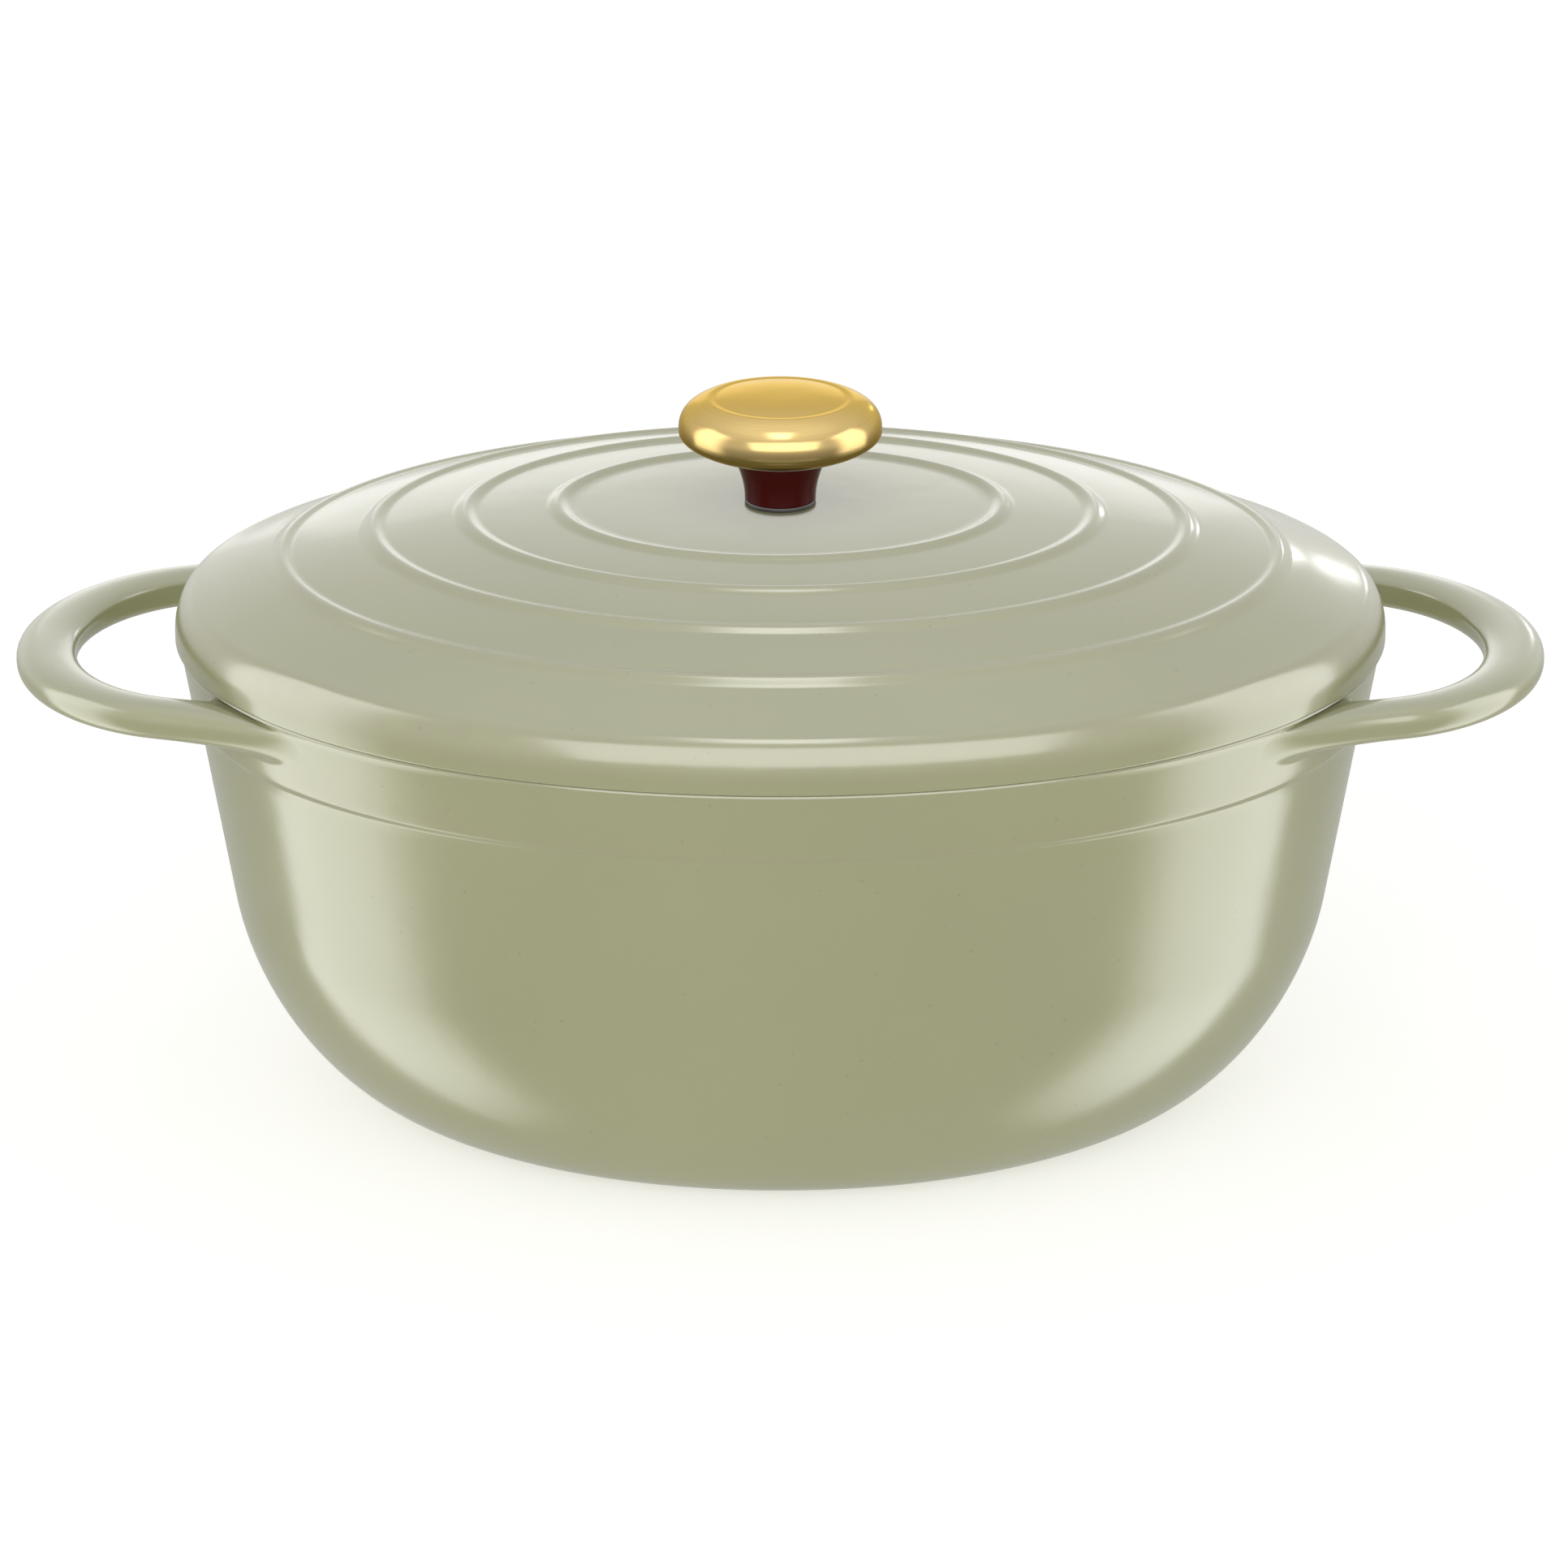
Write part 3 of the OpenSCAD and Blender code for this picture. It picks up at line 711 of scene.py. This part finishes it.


# The knob's neck: it spreads from its foot up to the cap, and a post inside carries the cap's crown. Its
# near-black red colour is painted shade and a painted dark reflection, standing in for the shaded hollow
# under the cap.
neck = {"footRound": 0.5 * mm, "postRound": 0.6 * mm, "boreGap": 0.05 * mm}
footR, postR = gasketHigh.x, coreHigh.x
footRound, postRound = neck["footRound"], neck["postRound"]
boreR = insertHigh.x + neck["boreGap"]
boreTop = insertHigh.z + neck["boreGap"]
midZ = (capLow.z + coreLow.z) / 2
neckProfile = np.concatenate([
    run((0, coreHigh.z), (postR - postRound, coreHigh.z), 4),
    arc(postR - postRound, coreHigh.z - postRound, postRound, 90, 0, 5),
    run((postR, coreHigh.z - postRound), (postR, capLow.z), 6)[1:],
    bend((postR, capLow.z), (footR, midZ), (footR, coreLow.z + footRound), 24)[1:],
    arc(footR - footRound, coreLow.z + footRound, footRound, 0, -90, 6)[1:],
    run((footR - footRound, coreLow.z), (boreR, coreLow.z), 4)[1:],
    run((boreR, coreLow.z), (boreR, boreTop), 5)[1:],
    run((boreR, boreTop), (0, boreTop), 4)[1:],
])
neckPiece = buildPiece("knob_neck_painted_shade", [{"grid": turnedGrid(neckProfile, aroundKnob)}],
                       [neckPaintedShade], "lid", "knob_neck", "knob_core")
neckPiece.visible_glossy = False


# The small turned rings: each is a rounded rectangle swept round the knob's axis.
rings = {"edge": 0.2 * mm, "holeR": 3.3 * mm, "threadR": 2.95 * mm, "around": 96}


def turnedRing(name, low, high, innerR, finish, slot, node):
    section = softRectangle(innerR, high.x, low.z, high.z, rings["edge"])
    shell = {"grid": turnedGrid(section, rings["around"]), "loop": True}
    return buildPiece(name, [shell], [finish], "lid", slot, node)


insertPiece = turnedRing("knob_insert_brass", insertLow, insertHigh, rings["threadR"], brassMetal,
                         "insert_brass", "knob_insert")
insertPiece.visible_glossy = False
turnedRing("knob_gasket_ring", gasketLow, gasketHigh, rings["holeR"], blackRubber,
           "gasket_rubber", "knob_gasket")
turnedRing("knob_washer_flat", washerLow, washerHigh, rings["holeR"], steelMetal,
           "screw_steel", "knob_washer")


# The screw: a slotted head under the washer and a plain shank up into the insert.
screw = {
    "shankR": 2.9 * mm,
    "shankSunk": 0.5 * mm,        # how far the shank starts inside the head
    "slotWide": 1.6 * mm,
    "slotDeep": 1.5 * mm,
    "edge": 0.5 * mm,
    "around": 64,
}


# The head is a row of sections across y. Each is a soft rectangle as wide as the circle is there,
# x = sqrt(R^2 - y^2), and lower where the slot crosses it.
def screwHead():
    radius, edge = screwHigh.x, screw["edge"]
    half = screw["slotWide"] / 2
    slotWall = 1e-5               # the slot's sides lean by this much
    y = radius * np.sin(np.radians(np.linspace(-90, 90, 61)))
    y = np.sort(np.concatenate([y, [-half - slotWall, -half, half, half + slotWall]]))
    x = np.sqrt(np.clip(radius ** 2 - y ** 2, 0, None))
    inSlot = np.abs(y) < half + slotWall / 2
    low = np.where(inSlot, screwLow.z + screw["slotDeep"], screwLow.z)
    r = np.minimum(edge, x * 0.999)   # a narrow section has a smaller rounding
    t = np.radians(np.linspace(0, 360, 32, endpoint=False))[None, :]
    signX, signZ = np.sign(np.round(np.cos(t), 9)), np.sign(np.round(np.sin(t), 9))
    lowRound = np.where(signZ < 0, r[:, None], 0)
    ringX = signX * (x - r)[:, None] + r[:, None] * np.cos(t)
    underZ = low[:, None] + lowRound + lowRound * np.sin(t)
    ringZ = np.where(signZ < 0, underZ, washerLow.z + 0 * ringX)
    return np.stack([ringX, y[:, None] + 0 * ringX, ringZ], axis=-1)


shankR, shankEdge = screw["shankR"], screw["edge"]
shankFoot = washerLow.z - screw["shankSunk"]
shankProfile = np.concatenate([
    run((0, shankFoot), (shankR, shankFoot), 3),
    run((shankR, shankFoot), (shankR, screwHigh.z - shankEdge), 6)[1:],
    arc(shankR - shankEdge, screwHigh.z - shankEdge, shankEdge, 0, 90, 5)[1:],
    run((shankR - shankEdge, screwHigh.z), (0, screwHigh.z), 3)[1:],
])
screwShells = [{"grid": screwHead()}, {"grid": turnedGrid(shankProfile, screw["around"])}]
screwPiece = buildPiece("knob_screw_steel", screwShells, [steelMetal],
                        "lid", "screw_steel", "knob_screw")
screwPiece.visible_glossy = False


# The stage: a plain pale floor.
stage = {"half": 12.0, "colour": (0.70, 0.70, 0.695), "roughness": 0.7, "glow": 0.52}
floorMesh = bpy.data.meshes.new("floor")
half = stage["half"]
floorCorners = [(-half, -half, 0), (half, -half, 0), (half, half, 0), (-half, half, 0)]
floorMesh.from_pydata(floorCorners, [], [(0, 1, 2, 3)])
floor = bpy.data.objects.new("floor", floorMesh)
scene.collection.objects.link(floor)
floorPaint = bpy.data.materials.new("floorPaint")
floorPaint.use_nodes = True
floorShader = floorPaint.node_tree.nodes["Principled BSDF"]
floorShader.inputs["Base Color"].default_value = (*stage["colour"], 1)
floorShader.inputs["Roughness"].default_value = stage["roughness"]
floorShader.inputs["Specular IOR Level"].default_value = 0.0
floorShader.inputs["Emission Color"].default_value = (1, 1, 0.99, 1)
floorShader.inputs["Emission Strength"].default_value = stage["glow"]
floorMesh.materials.append(floorPaint)
floor.visible_glossy = False       # so the pot mirrors the side lights below the floor too

# Soft light all round, a fill from the front, a tall soft light on each side that the pot mirrors, and
# four lamps behind, beside, in front and overhead, which only the glaze and the metal mirror.
light = {
    "horizon": 1.0,
    "zenith": 0.60,
    # what the glaze mirrors at each height of the sky, from -1 straight down to 1 straight up
    "mirrored": ((-0.30, 0.58), (-0.05, 1.10), (0.10, 1.45), (0.25, 1.55), (0.50, 1.60), (0.77, 1.9),
                 (0.94, 2.4), (1.0, 2.3)),
    "fillPower": 8.5,
    "fillSize": 1.4,
    "fillPlace": (-0.3, -2.0, 1.0),
    "fillAim": (0, 0, 0.08),
    "sideGlow": 3.1,              # brightness of the side lights' face
    "sideAway": 1.5,
    "sideBack": 0.56,             # they reach this far back, with a sharp edge
    "sideFront": -0.9,
    "fadeFront": (-0.80, -0.20),  # they fade out towards the front
    "sideTop": 1.5,
    "sideFoot": -4.0,             # they go on below the floor
    "fadeFoot": (-3.8, -1.1),     # and fade out downwards
    "lampAim": (0, 0, 0.12),
}
# where each lamp stands, its width and height, and its brightness
lamps = {
    "backLight": ((-0.06, 2.43, 0.42), (1.2, 0.85), 0.7),      # brightens the back of the lid
    "sparkLight": ((0.856, 2.275, 0.51), (0.16, 0.16), 7.0),   # a spark on the lid's right end
    "frontLight": ((0.15, -1.80, 0.965), (3.0, 1.46), 3.2),    # the line along the lid's front edge
    "overLight": ((0.0, -0.52, 2.36), (0.62, 1.05), 4.5),      # the lines on the front of the ridges
}


# a value that goes from low where the height is start to high where it is end, in a straight line or on
# a curve with level ends: low + (high - low) t^2 (3 - 2t)
def skyStep(tree, height, start, end, low, high, curve="SMOOTHSTEP"):
    span = {"From Min": start, "From Max": end, "To Min": low, "To Max": high}
    node = addNode(tree, "ShaderNodeMapRange", span, interpolation_type=curve)
    tree.links.new(height, node.inputs["Value"])
    return node.outputs["Result"]


# a + (b - a) share
def blendValues(tree, share, a, b):
    node = addNode(tree, "ShaderNodeMix", data_type="FLOAT")
    tree.links.new(share, node.inputs["Factor"])
    for socket, value in ((node.inputs["A"], a), (node.inputs["B"], b)):
        if isinstance(value, float):
            socket.default_value = value
        else:
            tree.links.new(value, socket)
    return node.outputs["Result"]


world = bpy.data.worlds.new("room")
scene.world = world
world.use_nodes = True
sky = world.node_tree
skyWay = addNode(sky, "ShaderNodeTexCoord")
skyParts = addNode(sky, "ShaderNodeSeparateXYZ")
sky.links.new(skyWay.outputs["Generated"], skyParts.inputs["Vector"])
skyHeight = skyParts.outputs["Z"]
shine = skyStep(sky, skyHeight, 0.0, 1.0, light["horizon"], light["zenith"])
brightest = max(glowAt for _, glowAt in light["mirrored"])
ramp = addNode(sky, "ShaderNodeValToRGB")
for _ in light["mirrored"][2:]:
    ramp.color_ramp.elements.new(0.5)
for stop, (height, glowAt) in zip(ramp.color_ramp.elements, light["mirrored"]):
    stop.position = (height + 1) / 2
    stop.color = (glowAt / brightest, glowAt / brightest, glowAt / brightest, 1)
sky.links.new(skyStep(sky, skyHeight, -1.0, 1.0, 0.0, 1.0, "LINEAR"), ramp.inputs["Fac"])
mirrored = mathNode(sky, "MULTIPLY", ramp.outputs["Color"], brightest)
ray = addNode(sky, "ShaderNodeLightPath")
glow = blendValues(sky, ray.outputs["Is Glossy Ray"], shine, mirrored)
glow = blendValues(sky, ray.outputs["Is Camera Ray"], glow, 1.0)
sky.nodes["Background"].inputs["Color"].default_value = (1, 1, 1, 1)
sky.links.new(glow, sky.nodes["Background"].inputs["Strength"])


def areaLight(name, place, target, wide, tall, power):
    data = bpy.data.lights.new(name, "AREA")
    data.shape = "RECTANGLE"
    data.size, data.size_y, data.energy = wide, tall, power
    lamp = bpy.data.objects.new(name, data)
    lamp.location = place
    lamp.rotation_euler = (Vector(target) - Vector(place)).to_track_quat("-Z", "Y").to_euler()
    lamp.visible_camera = False
    scene.collection.objects.link(lamp)
    return lamp


# a lamp that only mirroring surfaces see, whose face is as bright as glow: power = glow pi wide tall
def mirroredLight(name, place, target, wide, tall, glow):
    lamp = areaLight(name, place, target, wide, tall, glow * math.pi * wide * tall)
    lamp.visible_diffuse = False
    return lamp


fill = areaLight("frontFill", light["fillPlace"], light["fillAim"],
                 light["fillSize"], light["fillSize"], light["fillPower"])
fill.visible_glossy = False
sideWide = light["sideBack"] - light["sideFront"]
sideTall = light["sideTop"] - light["sideFoot"]
sideY = (light["sideBack"] + light["sideFront"]) / 2
sideZ = (light["sideTop"] + light["sideFoot"]) / 2
for sideName, side in (("leftLight", -1), ("rightLight", 1)):
    lamp = mirroredLight(sideName, (side * light["sideAway"], sideY, sideZ), (0, sideY, sideZ),
                         sideWide, sideTall, light["sideGlow"])
    # full at the back and the top, fading out to the front and the foot
    lamp.data.use_nodes = True
    tree = lamp.data.node_tree
    surface = addNode(tree, "ShaderNodeNewGeometry")
    parts = addNode(tree, "ShaderNodeSeparateXYZ")
    tree.links.new(surface.outputs["Position"], parts.inputs["Vector"])
    acrossFade = skyStep(tree, parts.outputs["Y"], *light["fadeFront"], 0.0, 1.0)
    downFade = skyStep(tree, parts.outputs["Z"], *light["fadeFoot"], 0.0, 1.0)
    fade = mathNode(tree, "MULTIPLY", acrossFade, downFade)
    tree.links.new(fade, tree.nodes["Emission"].inputs["Strength"])
for lampName, (place, (wide, tall), lampGlow) in lamps.items():
    mirroredLight(lampName, place, light["lampAim"], wide, tall, lampGlow)
print("floor and lights set")

# The camera stands where the photograph's outline puts it.
view = {
    "elevation": 20.5,            # degrees above the floor
    "distance": 1.6,
    "aim": (0.00085, 0, 0.07285),
    "focalPixels": 8430,
    "imagePixels": 1932,
    "sensor": 36.0,               # millimetres
}
camera = bpy.data.objects.new("camera", bpy.data.cameras.new("camera"))
camera.data.sensor_width = view["sensor"]
camera.data.lens = view["sensor"] * view["focalPixels"] / view["imagePixels"]
camera.data.clip_start, camera.data.clip_end = 0.05, 60
tilt = math.radians(view["elevation"])
aim = Vector(view["aim"])
camera.location = aim + view["distance"] * Vector((0, -math.cos(tilt), math.sin(tilt)))
camera.rotation_euler = (aim - camera.location).to_track_quat("-Z", "Y").to_euler()
scene.collection.objects.link(camera)
scene.camera = camera
scene.view_settings.view_transform = "Standard"
print("camera set")
